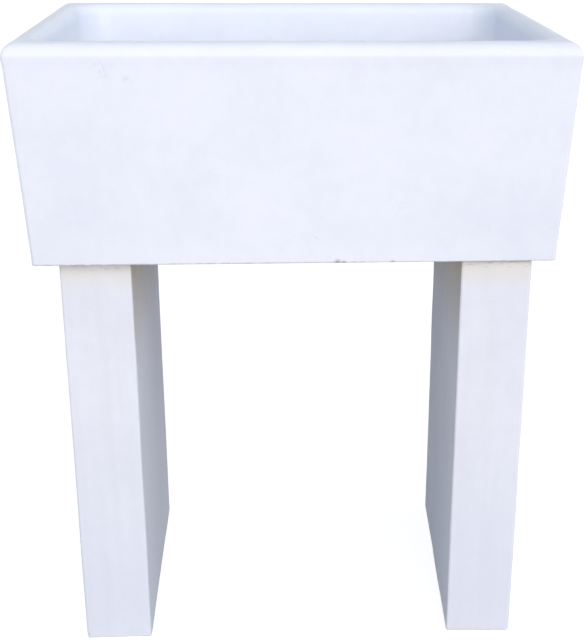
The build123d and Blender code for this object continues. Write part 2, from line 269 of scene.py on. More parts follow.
# %% Tub sizes
tub_low, tub_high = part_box("tub")
half_width = tub_high.x
half_depth = tub_high.y
underside = tub_low.z
rim = tub_high.z
lean = 0.0145                 # how far the walls come in at the foot
rim_round = 0.018             # rounding of the rim's outer edge
rim_swell = 0.0012            # how far the rim stands out past the wall
swell_height = 0.011
wall = 0.036
mouth_round = 0.016           # rounding of the rim's inner edge
basin_lean = 0.012            # how far the basin's walls come in at its floor
basin_corner = 0.050          # rounding of the basin's upright corners
foot_round = 0.026            # rounding where the basin's walls meet its floor
floor_thickness = 0.038
floor = underside + floor_thickness
floor_fall = 0.006
level_strip = 0.008           # between the rounded foot and the falls
dish_rebate = 0.046           # half the square round the drain where the falls end
arris_round = 0.005           # rounding of the outer upright edges
foot_arris_round = 0.0018     # rounding of the outer lower edges
round_steps = 9
past = 0.004                  # how far a cutter runs past what it cuts
print("tub", round(2 * half_width, 3), "by", round(2 * half_depth, 3), "floor at", round(floor, 3))


# %% Outer block with its round rim
def quarter_round(radius, steps):
    """Each step up a quarter circle: how far it rises, and how far in it has come by then."""
    risen = 0.0
    for step in range(1, steps + 1):
        angle = math.pi / 2 * step / steps
        yield radius * math.sin(angle) - risen, radius * (1 - math.cos(angle))
        risen = radius * math.sin(angle)


wall_reach = (half_width - rim_swell, half_depth - rim_swell)
foot_reach = (half_width - lean, half_depth - lean)
rim_reach = (half_width, half_depth)
shoulder = rim - rim_round
cove = shoulder - swell_height

tub = block("tub_casting", (-wall_reach[0], -wall_reach[1], underside), (*wall_reach, cove))
edit(tub)
pick("FACE", lambda p: near(p.z, underside))
resize_to(wall_reach, foot_reach)
pick("EDGE", lambda p: True, upright)
bevel(arris_round, segments=4)
pick("EDGE", lambda p: near(p.z, underside))
bevel(foot_arris_round, segments=3)
pick("FACE", lambda p: near(p.z, cove))
extrude(z=swell_height)
resize_to(wall_reach, rim_reach)
reach = rim_reach
for rise, inward in quarter_round(rim_round, round_steps):
    extrude(z=rise)
    resize_to(reach, (half_width - inward, half_depth - inward))
    reach = (half_width - inward, half_depth - inward)
bpy.ops.object.mode_set(mode="OBJECT")
print("outer block has", len(tub.data.polygons), "faces")

# %% [markdown]
# The core starts on the basin's floor and widens up to the brow, where the rim's inner
# rounding begins. There it flares out in the same steps as the rim does outside. Under it,
# the floor keeps a level strip along the walls, and from there four planes fall to the drain.

# %% The core
mouth_reach = (half_width - wall, half_depth - wall)
floor_reach = (mouth_reach[0] - basin_lean, mouth_reach[1] - basin_lean)
brow = rim - mouth_round
brow_in = basin_lean * mouth_round / (rim - floor)
brow_reach = (mouth_reach[0] - brow_in, mouth_reach[1] - brow_in)

core = block("core", (-floor_reach[0], -floor_reach[1], floor), (*floor_reach, brow))
edit(core)
pick("FACE", lambda p: near(p.z, brow))
resize_to(floor_reach, brow_reach)
pick("EDGE", lambda p: True, upright)
bevel(basin_corner, segments=10)
pick("EDGE", lambda p: near(p.z, floor))
bevel(foot_round, segments=7)
pick("FACE", lambda p: near(p.z, brow))
reach = brow_reach
for rise, outward in quarter_round(mouth_round, round_steps):
    extrude(z=rise)
    resize_to(reach, (brow_reach[0] + outward, brow_reach[1] + outward))
    reach = (brow_reach[0] + outward, brow_reach[1] + outward)
extrude(z=past)
pick("FACE", lambda p: near(p.z, floor), downwards)
bpy.ops.mesh.inset(thickness=level_strip, depth=0)
level_in = foot_round + level_strip
extrude(z=-floor_fall)
resize_to((floor_reach[0] - level_in, floor_reach[1] - level_in), (dish_rebate, dish_rebate))
bpy.ops.object.mode_set(mode="OBJECT")
print("core has", len(core.data.polygons), "faces, mouth", [round(2 * v, 3) for v in reach])

# %% Take the core out, then cut the drain
rebate_clearance = 0.0015     # round the dish's rim
rebate_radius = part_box("waste_dish")[1].x + rebate_clearance
rebate_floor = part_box("dish_seal")[0].z
hole_radius = 0.031
drain = floor - floor_fall
cut_away(tub, core)
cut_away(tub, drum("rebate_cutter", rebate_radius, rebate_floor, drain + past))
cut_away(tub, drum("hole_cutter", hole_radius, underside - past, rebate_floor + past))
print("tub has", len(tub.data.polygons), "faces")
print("rebate", round(2 * rebate_radius, 4), "metres wide, hole", 2 * hole_radius)

# %% [markdown]
# ## Faint waves
#
# A flat face in a render is flatter than any mould. So the skin is cut into even strips and
# pushed in by about a millimetre at most, where a slow cloud pattern says so. Bump in the
# finish would cost less, but it leaves the outline and the highlights on the rim straight.
# The skin is only ever pushed in, never out, so the casting keeps within its real size. A
# weight on each point leaves out the places where other pieces fit.

# %% Waves in a casting
def waves(piece, depth, size, where):
    """Push a piece's skin in by up to a depth, in slow waves of a size, where a test says so."""
    cloud = bpy.data.textures.new(piece.name + "_waves", "CLOUDS")
    cloud.noise_scale = size
    cloud.noise_depth = 1
    free = piece.vertex_groups.new(name="free")
    for point in piece.data.vertices:
        free.add([point.index], 1.0 if where(point.co) else 0.0, "REPLACE")
    apply_modifier(
        piece, "DISPLACE", texture=cloud, texture_coords="LOCAL", strength=depth, mid_level=1.0,
        vertex_group="free",
    )
    piece.vertex_groups.clear()


strip_pitch = 0.016
waves_deep = 0.0011
waves_wide = 0.11
flat_strip = 0.002            # above the underside, which stays true for the mortar
flat_round_drain = 2 * dish_rebate


def away_from_fittings(point):
    """True except under the tub and round the drain."""
    from_drain = max(abs(point.x), abs(point.y))
    return point.z > underside + flat_strip and from_drain > flat_round_drain


slice_up(tub, tub_low, tub_high, strip_pitch)
waves(tub, waves_deep, waves_wide, away_from_fittings)
print("tub now has", len(tub.data.polygons), "faces")

# %% [markdown]
# ## Chips
#
# A heavy casting gets knocked at its edges when it is moved. Each chip is cut with a small
# dented pebble, which leaves a broken hollow with a sharp border, as cement breaks. The
# chips on the front are placed where the real sink has them. A seeded draw spreads
# smaller ones round the foot, so that the edge line isn't a ruled one. Chips could be painted
# in the finish, but then the outline would stay straight where an edge is seen from the side.

# %% Chips
import random

dent = 0.25                   # how far a pebble's points are thrown, as a share of its least reach


def chips(piece, marks):
    """Break small hollows out of a piece. Each mark is a place and a reach along each axis."""
    pebbles = []
    for number, (place, reach) in enumerate(marks):
        nothing_selected()
        bpy.ops.mesh.primitive_ico_sphere_add(subdivisions=2, radius=1, location=place)
        bpy.context.active_object.scale = reach
        pebble = named("pebble")
        edit(pebble)
        bpy.ops.mesh.select_all(action="SELECT")
        bpy.ops.transform.vertex_random(offset=dent * min(reach), seed=number)
        pebbles.append(pebble)
    only(pebbles[0])
    for pebble in pebbles:
        pebble.select_set(True)
    bpy.ops.object.join()
    cut_away(piece, pebbles[0])


front_foot = -foot_reach[1]
front_wall = -wall_reach[1]
tub_marks = [                 # each a place, and a reach along X, Y and Z
    ((0.056, front_foot - 0.0012, underside - 0.0010), (0.0085, 0.0030, 0.0026)),
    ((0.123, front_foot - 0.0012, underside - 0.0008), (0.0060, 0.0024, 0.0018)),
    ((0.064, front_foot - 0.0012, underside - 0.0006), (0.0040, 0.0020, 0.0014)),
    ((-0.3478, front_wall - 0.0004, 0.811), (0.0032, 0.0030, 0.0024)),
    ((0.3480, front_wall - 0.0004, 0.8055), (0.0028, 0.0028, 0.0030)),
    ((-0.3365, front_foot - 0.0010, underside + 0.0006), (0.0034, 0.0030, 0.0030)),
]
foot_chips = 20
chip_out = 0.0008             # how far outside the foot's edge a pebble's middle lies
chip_height = underside - 0.0004
long_least, long_most = 0.0018, 0.0045
deep_least, deep_most = 0.0012, 0.0018
tall_least, tall_most = 0.0007, 0.0012
ends_free = 0.95              # chips keep to this share of a side
draw = random.Random(7)
for number in range(foot_chips):
    long = draw.uniform(long_least, long_most)
    deep = draw.uniform(deep_least, deep_most)
    tall = draw.uniform(tall_least, tall_most)
    along = draw.uniform(-ends_free, ends_free)
    if number % 3:            # two chips in three lie on the front and the back
        side = 1 if number % 3 == 1 else -1
        place = (along * foot_reach[0], side * (foot_reach[1] + chip_out), chip_height)
        reach = (long, deep, tall)
    else:
        side = 1 if number % 2 else -1
        place = (side * (foot_reach[0] + chip_out), along * foot_reach[1], chip_height)
        reach = (deep, long, tall)
    tub_marks.append((place, reach))
chips(tub, tub_marks)
print(len(tub_marks), "chips in the tub, faces", len(tub.data.polygons))


# %% Finish the tub's mesh
def set_in_frame(piece, body, slot, *replaced):
    """Shade a finished piece, hang it on the body that it rides on, and hide the nodes that it
    replaces. The slot is not used.
    """
    smooth(piece)
    apply_modifier(piece, "WEIGHTED_NORMAL", keep_sharp=True)
    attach(piece, body)
    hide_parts(*replaced)


set_in_frame(tub, "sink", "cast_stone", "tub")

# %% [markdown]
# ## The slab legs
#
# Each leg is a cast slab. Its four upright edges were softened by fillets in the mould, its
# foot a little less, and its top least. A bevel modifier would round all of them alike, so
# the edges are picked and rounded in turn. One function casts both slabs, so they differ only
# in their waves and chips. The right slab stands a little out of square, as it does in the
# photograph, so it is turned about its own middle once it is made.

# %% Leg sizes
leg_round = 0.004
leg_foot_round = 0.003
leg_top_round = 0.0012
right_leg_turn = math.radians(-2.5)
leg_low, leg_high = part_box("left_leg")
leg_reach = (leg_high - leg_low) / 2
leg_top = leg_high.z
print("legs", [round(2 * v, 3) for v in leg_reach])


# %% Cast the legs
def middle_of(node):
    """The middle of a node's box."""
    low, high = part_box(node)
    return (low + high) / 2


def turn_round(middle, angle):
    """Turn a piece about an upright axis. With no window the operator turns the other way."""
    bpy.ops.mesh.select_all(action="SELECT")
    bpy.ops.transform.rotate(value=-angle, orient_axis="Z", center_override=middle)


def cast_leg(side, angle, marks):
    """One slab leg: soft edges, faint waves, chips, then its turn."""
    middle = middle_of(side + "_leg")
    low = middle - leg_reach
    high = middle + leg_reach
    leg = block(side + "_slab", low, high)
    edit(leg)
    pick("EDGE", lambda p: True, upright)
    bevel(leg_round, segments=4)
    pick("EDGE", lambda p: near(p.z, low.z))
    bevel(leg_foot_round, segments=3)
    pick("EDGE", lambda p: near(p.z, high.z))
    bevel(leg_top_round, segments=2)
    merge_close()
    slice_up(leg, low, high, strip_pitch)
    waves(leg, waves_deep, waves_wide, lambda p: low.z + hair < p.z < high.z - hair)
    chips(leg, [(low + Vector(place), reach) for place, reach in marks])
    edit(leg)
    turn_round(middle, angle)
    set_in_frame(leg, "sink", "leg_stone", side + "_leg")
    return leg


print("one function casts both legs")

# %% The legs' chips
width, depth, height = 2 * leg_reach
left_marks = [                # each a place from the slab's low corner, and a reach
    ((0.080, 0.0008, 0.290), (0.0011, 0.0016, 0.0011)),
    ((width, 0, 0.505), (0.0030, 0.0030, 0.0060)),
    ((width, 0, 0.142), (0.0026, 0.0026, 0.0040)),
    ((0, 0, 0.337), (0.0026, 0.0028, 0.0050)),
    ((0, 0, 0.006), (0.0050, 0.0050, 0.0060)),
    ((width, depth, 0.410), (0.0030, 0.0032, 0.0070)),
    ((0, depth, 0.018), (0.0045, 0.0050, 0.0065)),
    ((0.062, 0, 0.0005), (0.0060, 0.0030, 0.0022)),
]
right_marks = [
    ((0, 0, 0.395), (0.0028, 0.0028, 0.0048)),
    ((0, 0, 0.088), (0.0030, 0.0026, 0.0060)),
    ((width, 0, 0.231), (0.0026, 0.0028, 0.0042)),
    ((width, 0, 0.004), (0.0048, 0.0046, 0.0050)),
    ((0, depth, 0.300), (0.0030, 0.0032, 0.0062)),
    ((width, depth, 0.120), (0.0032, 0.0030, 0.0050)),
    ((0.030, 0, 0.0005), (0.0052, 0.0028, 0.0020)),
]
left_leg = cast_leg("left", 0.0, left_marks)
right_leg = cast_leg("right", right_leg_turn, right_marks)
for leg, node in ((left_leg, "left_leg"), (right_leg, "right_leg")):
    own = [min(v.co[axis] for v in leg.data.vertices) for axis in range(3)]
    print(leg.name, "low corner", [round(v, 4) for v in own])

# %% [markdown]
# ## The mortar beds
#
# The tub's weight squeezes the mortar between it and each slab. It stays a little back from
# the slab's edges and breaks off unevenly there, which draws the thin dark line under the tub.
# A painted line would show no depth, so the beds are real: thin blocks whose edges are pushed
# in by a fine cloud pattern.

# %% Mortar beds
bed_low, bed_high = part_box("left_leg_bed")
bed_reach = (bed_high - bed_low) / 2
bed_round = 0.004
bed_pitch = 0.005             # at least as high as a bed, so that only its length and width are cut
bed_layers = 3
ragged_deep = 0.0045
ragged_wide = 0.012


def lay_bed(side, angle):
    """The mortar on one leg, with ragged edges."""
    middle = middle_of(side + "_leg_bed")
    low = middle - bed_reach
    high = middle + bed_reach
    bed = block(side + "_mortar", low, high)
    edit(bed)
    pick("EDGE", lambda p: True, upright)
    bevel(bed_round, segments=3)
    slice_up(bed, low, Vector((high.x, high.y, low.z + bed_pitch)), bed_pitch)
    edit(bed)
    for layer in range(1, bed_layers):
        cut = low.z + layer / bed_layers * (high.z - low.z)
        bpy.ops.mesh.select_all(action="SELECT")
        bpy.ops.mesh.bisect(plane_co=(0, 0, cut), plane_no=(0, 0, 1))
    bpy.ops.object.mode_set(mode="OBJECT")
    waves(bed, ragged_deep, ragged_wide, lambda p: low.z + hair < p.z < high.z - hair)
    edit(bed)
    turn_round(middle, angle)
    set_in_frame(bed, "sink", "mortar", side + "_leg_bed")
    return bed


left_bed = lay_bed("left", 0.0)
right_bed = lay_bed("right", right_leg_turn)
print("beds laid", len(left_bed.data.polygons), len(right_bed.data.polygons))

# %% [markdown]
# # Finishes
#
# A finish is a small network of nodes. Two helpers keep it readable. One wraps what comes
# out of a socket, so that sums can be written as sums. The other is the material under way,
# whose one method adds any node. All patterns read the piece's own coordinates in metres, so
# they stay put on the piece wherever the camera goes, and need no seams.
#
# Where a finish changes, a mask says so: a number that is 0 in one place, 1 in another and
# in between on the way. Masks are made from clouds, from the height or from the way that the
# surface faces, and are multiplied where all of them have to hold.

# %% A value in a finish
class Flow:
    """What flows out of a socket. Sums on it add Math nodes to its finish."""

    def __init__(self, finish, socket):
        self.finish = finish
        self.socket = socket

    def maths(self, operation, first, second):
        """Add one Math node and return what flows out of it."""
        return self.finish.node("Math", {"operation": operation}, {0: first, 1: second})

    def __add__(self, other):
        return self.maths("ADD", self, other)

    def __sub__(self, other):
        return self.maths("SUBTRACT", self, other)

    def __rsub__(self, other):
        return self.maths("SUBTRACT", other, self)

    def __mul__(self, other):
        return self.maths("MULTIPLY", self, other)

    def __abs__(self):
        return self.maths("ABSOLUTE", self, 0.0)

    __radd__ = __add__
    __rmul__ = __mul__

    def between(self, low, high):
        """0 below one value, 1 above the other, and a soft step between them."""
        span = {"Value": self, "From Min": low, "From Max": high}
        return self.finish.node("MapRange", {"interpolation_type": "SMOOTHSTEP"}, span)


print("sums can be written as sums")


# %% A finish under way
class Finish:
    """A material under way. Its coordinates are the piece's own, in metres."""

    def __init__(self, name):
        self.material = bpy.data.materials.new(name)
        self.material.use_nodes = True
        self.tree = self.material.node_tree
        self.tree.nodes.clear()
        self.where = self.node("TexCoord", out="Object")

    def node(self, kind, settings=None, sockets=None, out=0):
        """Add a node: its settings first, then the values or links of its sockets."""
        made = self.tree.nodes.new("ShaderNode" + kind)
        for key, value in (settings or {}).items():
            setattr(made, key, value)
        for key, value in (sockets or {}).items():
            if isinstance(value, Flow):
                self.tree.links.new(value.socket, made.inputs[key])
            else:
                made.inputs[key].default_value = value
        return Flow(self, made.outputs[out]) if made.outputs else None

    def noise(self, size, detail=2.0, stretch=(1, 1, 1), shift=0.0):
        """Clouds of a size in metres, from 0 to 1, stretched along each axis."""
        moved = {"Vector": self.where, "Location": (shift, shift, shift), "Scale": stretch}
        scaled = self.node("Mapping", {}, moved)
        return self.node("TexNoise", {}, {"Vector": scaled, "Scale": 1 / size, "Detail": detail})

    def blend(self, mask, first, second, kind="MIX"):
        """One colour where the mask is 0, another where it is 1, or the first one tinted by it."""
        settings = {"data_type": "RGBA", "blend_type": kind}
        return self.node("Mix", settings, {0: mask, 6: first, 7: second}, out=2)

    def tint(self, mask, colour, stain):
        """Darken a colour by a stain where the mask is 1."""
        return self.blend(mask, colour, stain, "MULTIPLY")

    def mix(self, mask, first, second):
        """One shader where the mask is 0, and another where it is 1."""
        return self.node("MixShader", {}, {0: mask, 1: first, 2: second})

    def coordinate(self, axis):
        """How far along X, Y or Z a point lies."""
        return self.node("SeparateXYZ", {}, {"Vector": self.where}, out=axis)

    def facing(self, axis):
        """How squarely the surface faces along X, Y or Z, either way: 1 is squarely."""
        normal = self.node("NewGeometry", out="Normal")
        return abs(self.node("SeparateXYZ", {}, {"Vector": normal}, out=axis))

    def surface(self, base, roughness, relief=None, relief_depth=0.0, **plain):
        """Join the parts in one surface. The plain sockets take numbers as they are."""
        sockets = {"Base Color": base, "Roughness": roughness}
        for key, value in plain.items():
            sockets[key.replace("_", " ")] = value
        if relief is not None:
            bumps = {"Height": relief, "Distance": relief_depth}
            sockets["Normal"] = self.node("Bump", {}, bumps, out="Normal")
        shader = self.node("BsdfPrincipled", {}, sockets)
        self.node("OutputMaterial", {}, {"Surface": shader})
        return self.material


print("finishes can be mixed")

# %% [markdown]
# ## White cast stone
#
# White cement dries in clouds: large soft ones of a slightly different white, and a finer
# mottling inside them. Air leaves pinholes at the mould's face. The tub and the slabs share
# that, so one function paints it. The tub was rubbed smooth, so it shines a little. The slabs
# were left from the mould, so they are matt. An even white would look like plastic.

# %% The skin that both castings share
cloud_size = 0.11             # the sizes of patterns are in metres
mottle_size = 0.018
grain_size = 0.0018
pores_to_a_metre = 42.0
pore_core, pore_edge = 0.035, 0.060     # of the way from one pore to the next
pore_patch = 0.05             # pinholes come in patches of about this size


def cement(finish, pale, deep):
    """Colour and relief of cast white cement: clouds, mottling, grain and pinholes."""
    clouds = finish.noise(cloud_size, detail=3.0).between(0.36, 0.66)
    mottle = finish.noise(mottle_size, detail=4.0, shift=3.0).between(0.30, 0.72)
    colour = finish.blend(clouds * 0.6 + mottle * 0.4, deep, pale)
    spread = {"Vector": finish.where, "Scale": pores_to_a_metre}
    pores = finish.node("TexVoronoi", {}, spread, out="Distance")
    patches = finish.noise(pore_patch, detail=1.0, shift=9.0).between(0.55, 0.75)
    pinholes = (1 - pores.between(pore_core, pore_edge)) * patches
    grain = finish.noise(grain_size, detail=2.0)
    relief = grain * 0.25 + mottle * 0.15 - pinholes * 0.8
    return colour, relief, pinholes, mottle


pinhole_grey = (0.52, 0.52, 0.53, 1)
print("cement mixed, pores every", round(1 / pores_to_a_metre, 3), "metres")

# %% [markdown]
# ## Worn edges and painted shade on the tub
#
# The real tub isn't one even white. Its front is a shade greyer towards both ends, and has
# faint smudges. Its lower edge has a dark line, partly worn and partly painted shade, mostly
# in the middle and on the left. Three chips there have painted shade in their hollows. The
# basin's back wall is painted a little darker, as painted shade, and its end walls are
# painted darker and bluer near the rim, also as painted shade. The hidden front wall is made
# like the back one. The tints were fitted together with the light. The dark edge line shows
# another grey. The rest are tints, which multiply the colour that is there, so the cement's
# clouds still show through.

# %% Where the chips' painted shade and the smudges are
# painted shade in the hollows of three chips on the front foot
chip_shade_spots = [                    # each a place, and how far its grey reaches
    ((0.052, front_foot, underside), 0.0075),
    ((0.060, front_foot, underside), 0.0050),
    ((0.123, front_foot, underside), 0.0045),
]
smudges = [
    ((-0.202, front_wall, 0.801), 0.010),
    ((-0.231, front_wall, 0.812), 0.020),
    ((-0.225, front_wall, 0.683), 0.014),
    ((0.130, front_wall, 0.640), 0.018),
]
drain_below, basin_above = underside + 0.010, underside + 0.020
turned_from, turned_full = 0.3, 0.8     # how squarely a wall faces along its axis


def spot(finish, place, size):
    """1 at a place, fading to 0 at a distance from it."""
    ends = {0: finish.where, 1: place}
    away = finish.node("VectorMath", {"operation": "DISTANCE"}, ends, out="Value")
    return 1 - away.between(0.0, size)


def inside_basin(finish, axis):
    """1 on the two basin walls that face along an axis, up to the rim's inner rounding."""
    past_ends = abs(finish.coordinate("X")).between(mouth_reach[0], mouth_reach[0] + mouth_round)
    past_sides = abs(finish.coordinate("Y")).between(mouth_reach[1], mouth_reach[1] + mouth_round)
    above_drain = finish.coordinate("Z").between(drain_below, basin_above)
    turned = finish.facing(axis).between(turned_from, turned_full)
    return (1 - past_ends) * (1 - past_sides) * above_drain * turned


print(len(chip_shade_spots), "knocks and", len(smudges), "smudges on the front")

# %% The tub's finish
stone_pale = (0.870, 0.888, 0.970, 1)
stone_deep = (0.826, 0.842, 0.938, 1)
# a grey of painted shade for the rounded lower edge, partly worn
edge_shade_and_wear_grey = (0.55, 0.55, 0.56, 1)
end_grey = (0.945, 0.95, 0.955, 1)       # this colour and the next four are tints
chip_shade_grey = (0.42, 0.42, 0.45, 1)
smudge_grey = (0.90, 0.90, 0.91, 1)
# a tint of painted shade for the basin's front and back walls
basin_shade_tint = (0.94, 0.964, 0.948, 1)
# a tint of painted shade for the basin's end walls near the rim
rim_shade_tint = (0.89, 0.915, 0.95, 1)
end_grey_from, end_grey_full = 0.05, 0.32  # outwards from the middle
fading_from, fading_full = 0.58, 0.72   # upwards, where the end grey fades
fading = 0.7
edge_shade_full, edge_shade_to = underside + 0.0010, underside + 0.0030
left_darker_full, left_darker_to = 0.06, 0.16   # the edge's painted shade is darker to the left of here
under_from, under_full = 0.75, 0.97     # how squarely the underside looks down
rim_shade_from, rim_shade_full = 0.785, 0.830     # upwards, on the basin's end walls
satin, satin_spread = 0.46, 0.14        # the roughness, and how far the mottling raises it


def tub_finish():
    """White cement rubbed to a satin, with smudges, worn edges and painted shade."""
    finish = Finish("cast_stone_satin")
    colour, relief, pinholes, mottle = cement(finish, stone_pale, stone_deep)
    height = finish.coordinate("Z")
    # a tint greyer towards both ends, fading higher up
    ends = abs(finish.coordinate("X")).between(end_grey_from, end_grey_full)
    faded = height.between(fading_from, fading_full) * fading
    colour = finish.tint(ends * (1 - faded), colour, end_grey)
    # painted shade along the rounded lower edge, partly worn, darker on the left
    foot_edge = 1 - height.between(edge_shade_full, edge_shade_to)
    edge_shade_and_wear = foot_edge * finish.noise(0.012, detail=3.0, shift=5.0).between(0.30, 0.60)
    left_darker = 1 - finish.coordinate("X").between(left_darker_full, left_darker_to)
    edge_only = 1 - finish.facing("Z").between(under_from, under_full)
    colour = finish.blend(edge_shade_and_wear * edge_only * (0.25 + left_darker * 0.55), colour, edge_shade_and_wear_grey)
    # painted shade in the hollows of three chips on the front foot
    for place, size in chip_shade_spots:
        colour = finish.tint(spot(finish, place, size), colour, chip_shade_grey)
    # painted shade: the basin's front and back walls a little darker
    colour = finish.tint(inside_basin(finish, "Y"), colour, basin_shade_tint)
    # painted shade: the basin's end walls darker and bluer near the rim
    rim_shade = inside_basin(finish, "X") * height.between(rim_shade_from, rim_shade_full) * 0.9
    colour = finish.tint(rim_shade, colour, rim_shade_tint)
    dirt = finish.noise(0.006, detail=4.0, shift=4.0).between(0.40, 0.70)
    for place, size in smudges:
        colour = finish.tint(spot(finish, place, size) * dirt, colour, smudge_grey)
    colour = finish.blend(pinholes * 0.2, colour, pinhole_grey)
    roughness = satin + mottle * satin_spread
    return finish.surface(colour, roughness, relief, 0.0006, Specular_IOR_Level=0.28)


def dress(pieces, material):
    """Give pieces one finish."""
    for piece in pieces:
        if piece.material_slots:
            for slot in piece.material_slots:
                slot.material = material
        else:
            piece.data.materials.append(material)


dress([tub], tub_finish())
print("tub dressed")

# %% [markdown]
# ## Painted shade on the slabs
#
# The top few centimetres are a warm cream, painted shade under the tub and partly mortar
# stain. The slabs' sides are browner further down, as painted shade under the tub. The sides
# are darker towards the back, and the lower part is darker and a little bluer, both painted
# shade. None of it was measured apart from the light. The faces have soft upright streaks,
# as from a mould, which are clouds stretched along Z.

# %% The slabs' finish
slab_pale = (0.819, 0.827, 0.907, 1)
slab_deep = (0.777, 0.785, 0.867, 1)
streak_grey = (0.674, 0.700, 0.753, 1)
# painted warm shade under the tub for the slabs' top, partly mortar stain
cream_shade_and_stain = (0.772, 0.745, 0.699, 1)
smear_brown = (0.52, 0.47, 0.38, 1)
# a grey of painted shade, bluer, for the slabs' lower part
low_shade_blue = (0.665, 0.711, 0.816, 1)
# a tint of painted shade under the tub for the slabs' sides
side_shade_tint = (0.81, 0.725, 0.565, 1)       # this colour and the next are tints
# a tint of painted shade for the back of the slabs' sides
back_shade_grey = (0.72, 0.71, 0.715, 1)
uneven_length = 0.016           # how unevenly the cream and the sides' painted shade end
cream_from, cream_full = leg_top - 0.036, leg_top + 0.006
side_shade_from, side_shade_full = leg_top - 0.18, leg_top + 0.02
smear_from, smear_full = leg_top - 0.012, leg_top - 0.004
back_shade_from, back_shade_full = -0.23, 0.20    # from front to back
low_shade_height = 0.42
side_from, side_full = 0.8, 0.98        # how squarely a slab's side faces along X
upright_streaks = (1, 1, 0.06)          # clouds stretched along Z
upright_unevenness = (1, 1, 0.30)
flat_smears = (1, 1, 3.0)               # and clouds pressed flat along Z
matt, matt_spread = 0.62, 0.15


def slab_finish():
    """White cement straight from the mould, with painted shade and mortar stains."""
    finish = Finish("cast_stone_matt")
    colour, relief, pinholes, mottle = cement(finish, slab_pale, slab_deep)
    streaks = finish.noise(0.016, detail=3.0, stretch=upright_streaks, shift=1.0).between(0.40, 0.70)
    colour = finish.blend(streaks * 0.22, colour, streak_grey)
    uneven_edge = finish.noise(0.012, detail=3.0, stretch=upright_unevenness, shift=7.0)
    height = finish.coordinate("Z") + uneven_edge * uneven_length
    # painted warm shade under the tub on the top few centimetres, partly mortar stain
    colour = finish.blend(height.between(cream_from, cream_full) * 0.90, colour, cream_shade_and_stain)
    sides = finish.facing("X").between(side_from, side_full)
    # painted shade under the tub: the sides darker and browner near the top
    colour = finish.tint(sides * height.between(side_shade_from, side_shade_full), colour, side_shade_tint)
    # painted shade: the sides darker towards the back
    back_shade = sides * finish.coordinate("Y").between(back_shade_from, back_shade_full)
    colour = finish.tint(back_shade, colour, back_shade_grey)
    # painted shade: the slabs darker and bluer towards the floor
    low_shade = 1 - finish.coordinate("Z").between(0.0, low_shade_height)
    colour = finish.blend(low_shade * 0.5, colour, low_shade_blue)
    smears = finish.noise(0.010, detail=4.0, stretch=flat_smears, shift=2.0).between(0.56, 0.68)
    close_to_top = finish.coordinate("Z").between(smear_from, smear_full)
    colour = finish.blend(smears * close_to_top * 0.6, colour, smear_brown)
    colour = finish.blend(pinholes * 0.7, colour, pinhole_grey)
    roughness = matt + mottle * matt_spread
    return finish.surface(colour, roughness, relief, 0.0008, Specular_IOR_Level=0.2)


dress([left_leg, right_leg], slab_finish())
print("slabs dressed")

# %% The mortar's finish
mortar_deep = (0.44, 0.42, 0.38, 1)
mortar_pale = (0.66, 0.64, 0.60, 1)


def mortar_finish():
    """Dull lumpy mortar."""
    finish = Finish("mortar_pale")
    lumps = finish.noise(0.004, detail=4.0)
    clouds = finish.noise(0.03, detail=2.0).between(0.3, 0.7)
    colour = finish.blend(clouds * 0.5 + lumps * 0.5, mortar_deep, mortar_pale)
    return finish.surface(colour, 0.95, lumps, 0.0012, Specular_IOR_Level=0.2)


dress([left_bed, right_bed], mortar_finish())
print("mortar dressed")

# %% [markdown]
# ## Metals, rubber and plastic
#
# These nodes come from the construction as they are, and only get their finish. Turned and
# pressed metal keeps fine rings round its axis. They are noise read along the radius alone,
# because a wave pattern would have too even a beat. The bars have the thin rust of steel that
# waits to be cast in. Rubber and plastic vary in gloss more than in colour.

# %% Metal
turning_pitch = 0.0006        # metres from one turning mark to the next
polish_pitch = 0.002
mark_depth = 0.00004


def metal(name, pale, deep, gloss, pitch):
    """A metal whose colour and gloss follow its turning marks and its smudges."""
    finish = Finish(name)
    flat = {0: finish.where, 1: (1, 1, 0)}
    across = finish.node("VectorMath", {"operation": "MULTIPLY"}, flat)
    radius = finish.node("VectorMath", {"operation": "LENGTH"}, {0: across}, out="Value")
    along_radius = {"W": radius, "Scale": 1 / pitch, "Detail": 3.0}
    marks = finish.node("TexNoise", {"noise_dimensions": "1D"}, along_radius)
    smears = finish.noise(0.014, detail=3.0).between(0.35, 0.70)
    colour = finish.blend(smears * 0.6 + marks * 0.4, pale, deep)
    roughness = gloss + smears * 0.10 + marks * 0.06
    return finish.surface(colour, roughness, marks, mark_depth, Metallic=1.0)


def dress_nodes(names, material):
    """Give the construction's own nodes one finish."""
    dress([nodes[name] for name in names], material)
    print(material.name, "on", ", ".join(names))


steel_pale, steel_deep = (0.74, 0.745, 0.75, 1), (0.60, 0.605, 0.61, 1)
chrome_pale, chrome_deep = (0.83, 0.84, 0.85, 1), (0.74, 0.75, 0.76, 1)
brass_pale, brass_deep = (0.78, 0.60, 0.28, 1), (0.62, 0.45, 0.18, 1)
steel = metal("steel_pressed", steel_pale, steel_deep, 0.20, turning_pitch)
chrome = metal("chrome_bright", chrome_pale, chrome_deep, 0.05, polish_pitch)
brass = metal("brass_turned", brass_pale, brass_deep, 0.24, turning_pitch)
dress_nodes(["waste_dish", "waste_screw"], steel)
dress_nodes(["plug_stud", "plug_washer", "plug_nut", "plug_ring"], chrome)
dress_nodes(["screw_insert"], brass)

# %% Bars
bar_grey = (0.42, 0.41, 0.40, 1)
rust_brown = (0.30, 0.16, 0.08, 1)


def bar_finish():
    """Drawn bar with the thin rust that it has before it is cast in."""
    finish = Finish("bar_drawn")
    rust = finish.noise(0.009, detail=5.0).between(0.42, 0.66)
    colour = finish.blend(rust, bar_grey, rust_brown)
    return finish.surface(colour, 0.45 + rust * 0.4, rust, 0.0001, Metallic=1 - rust * 0.8)


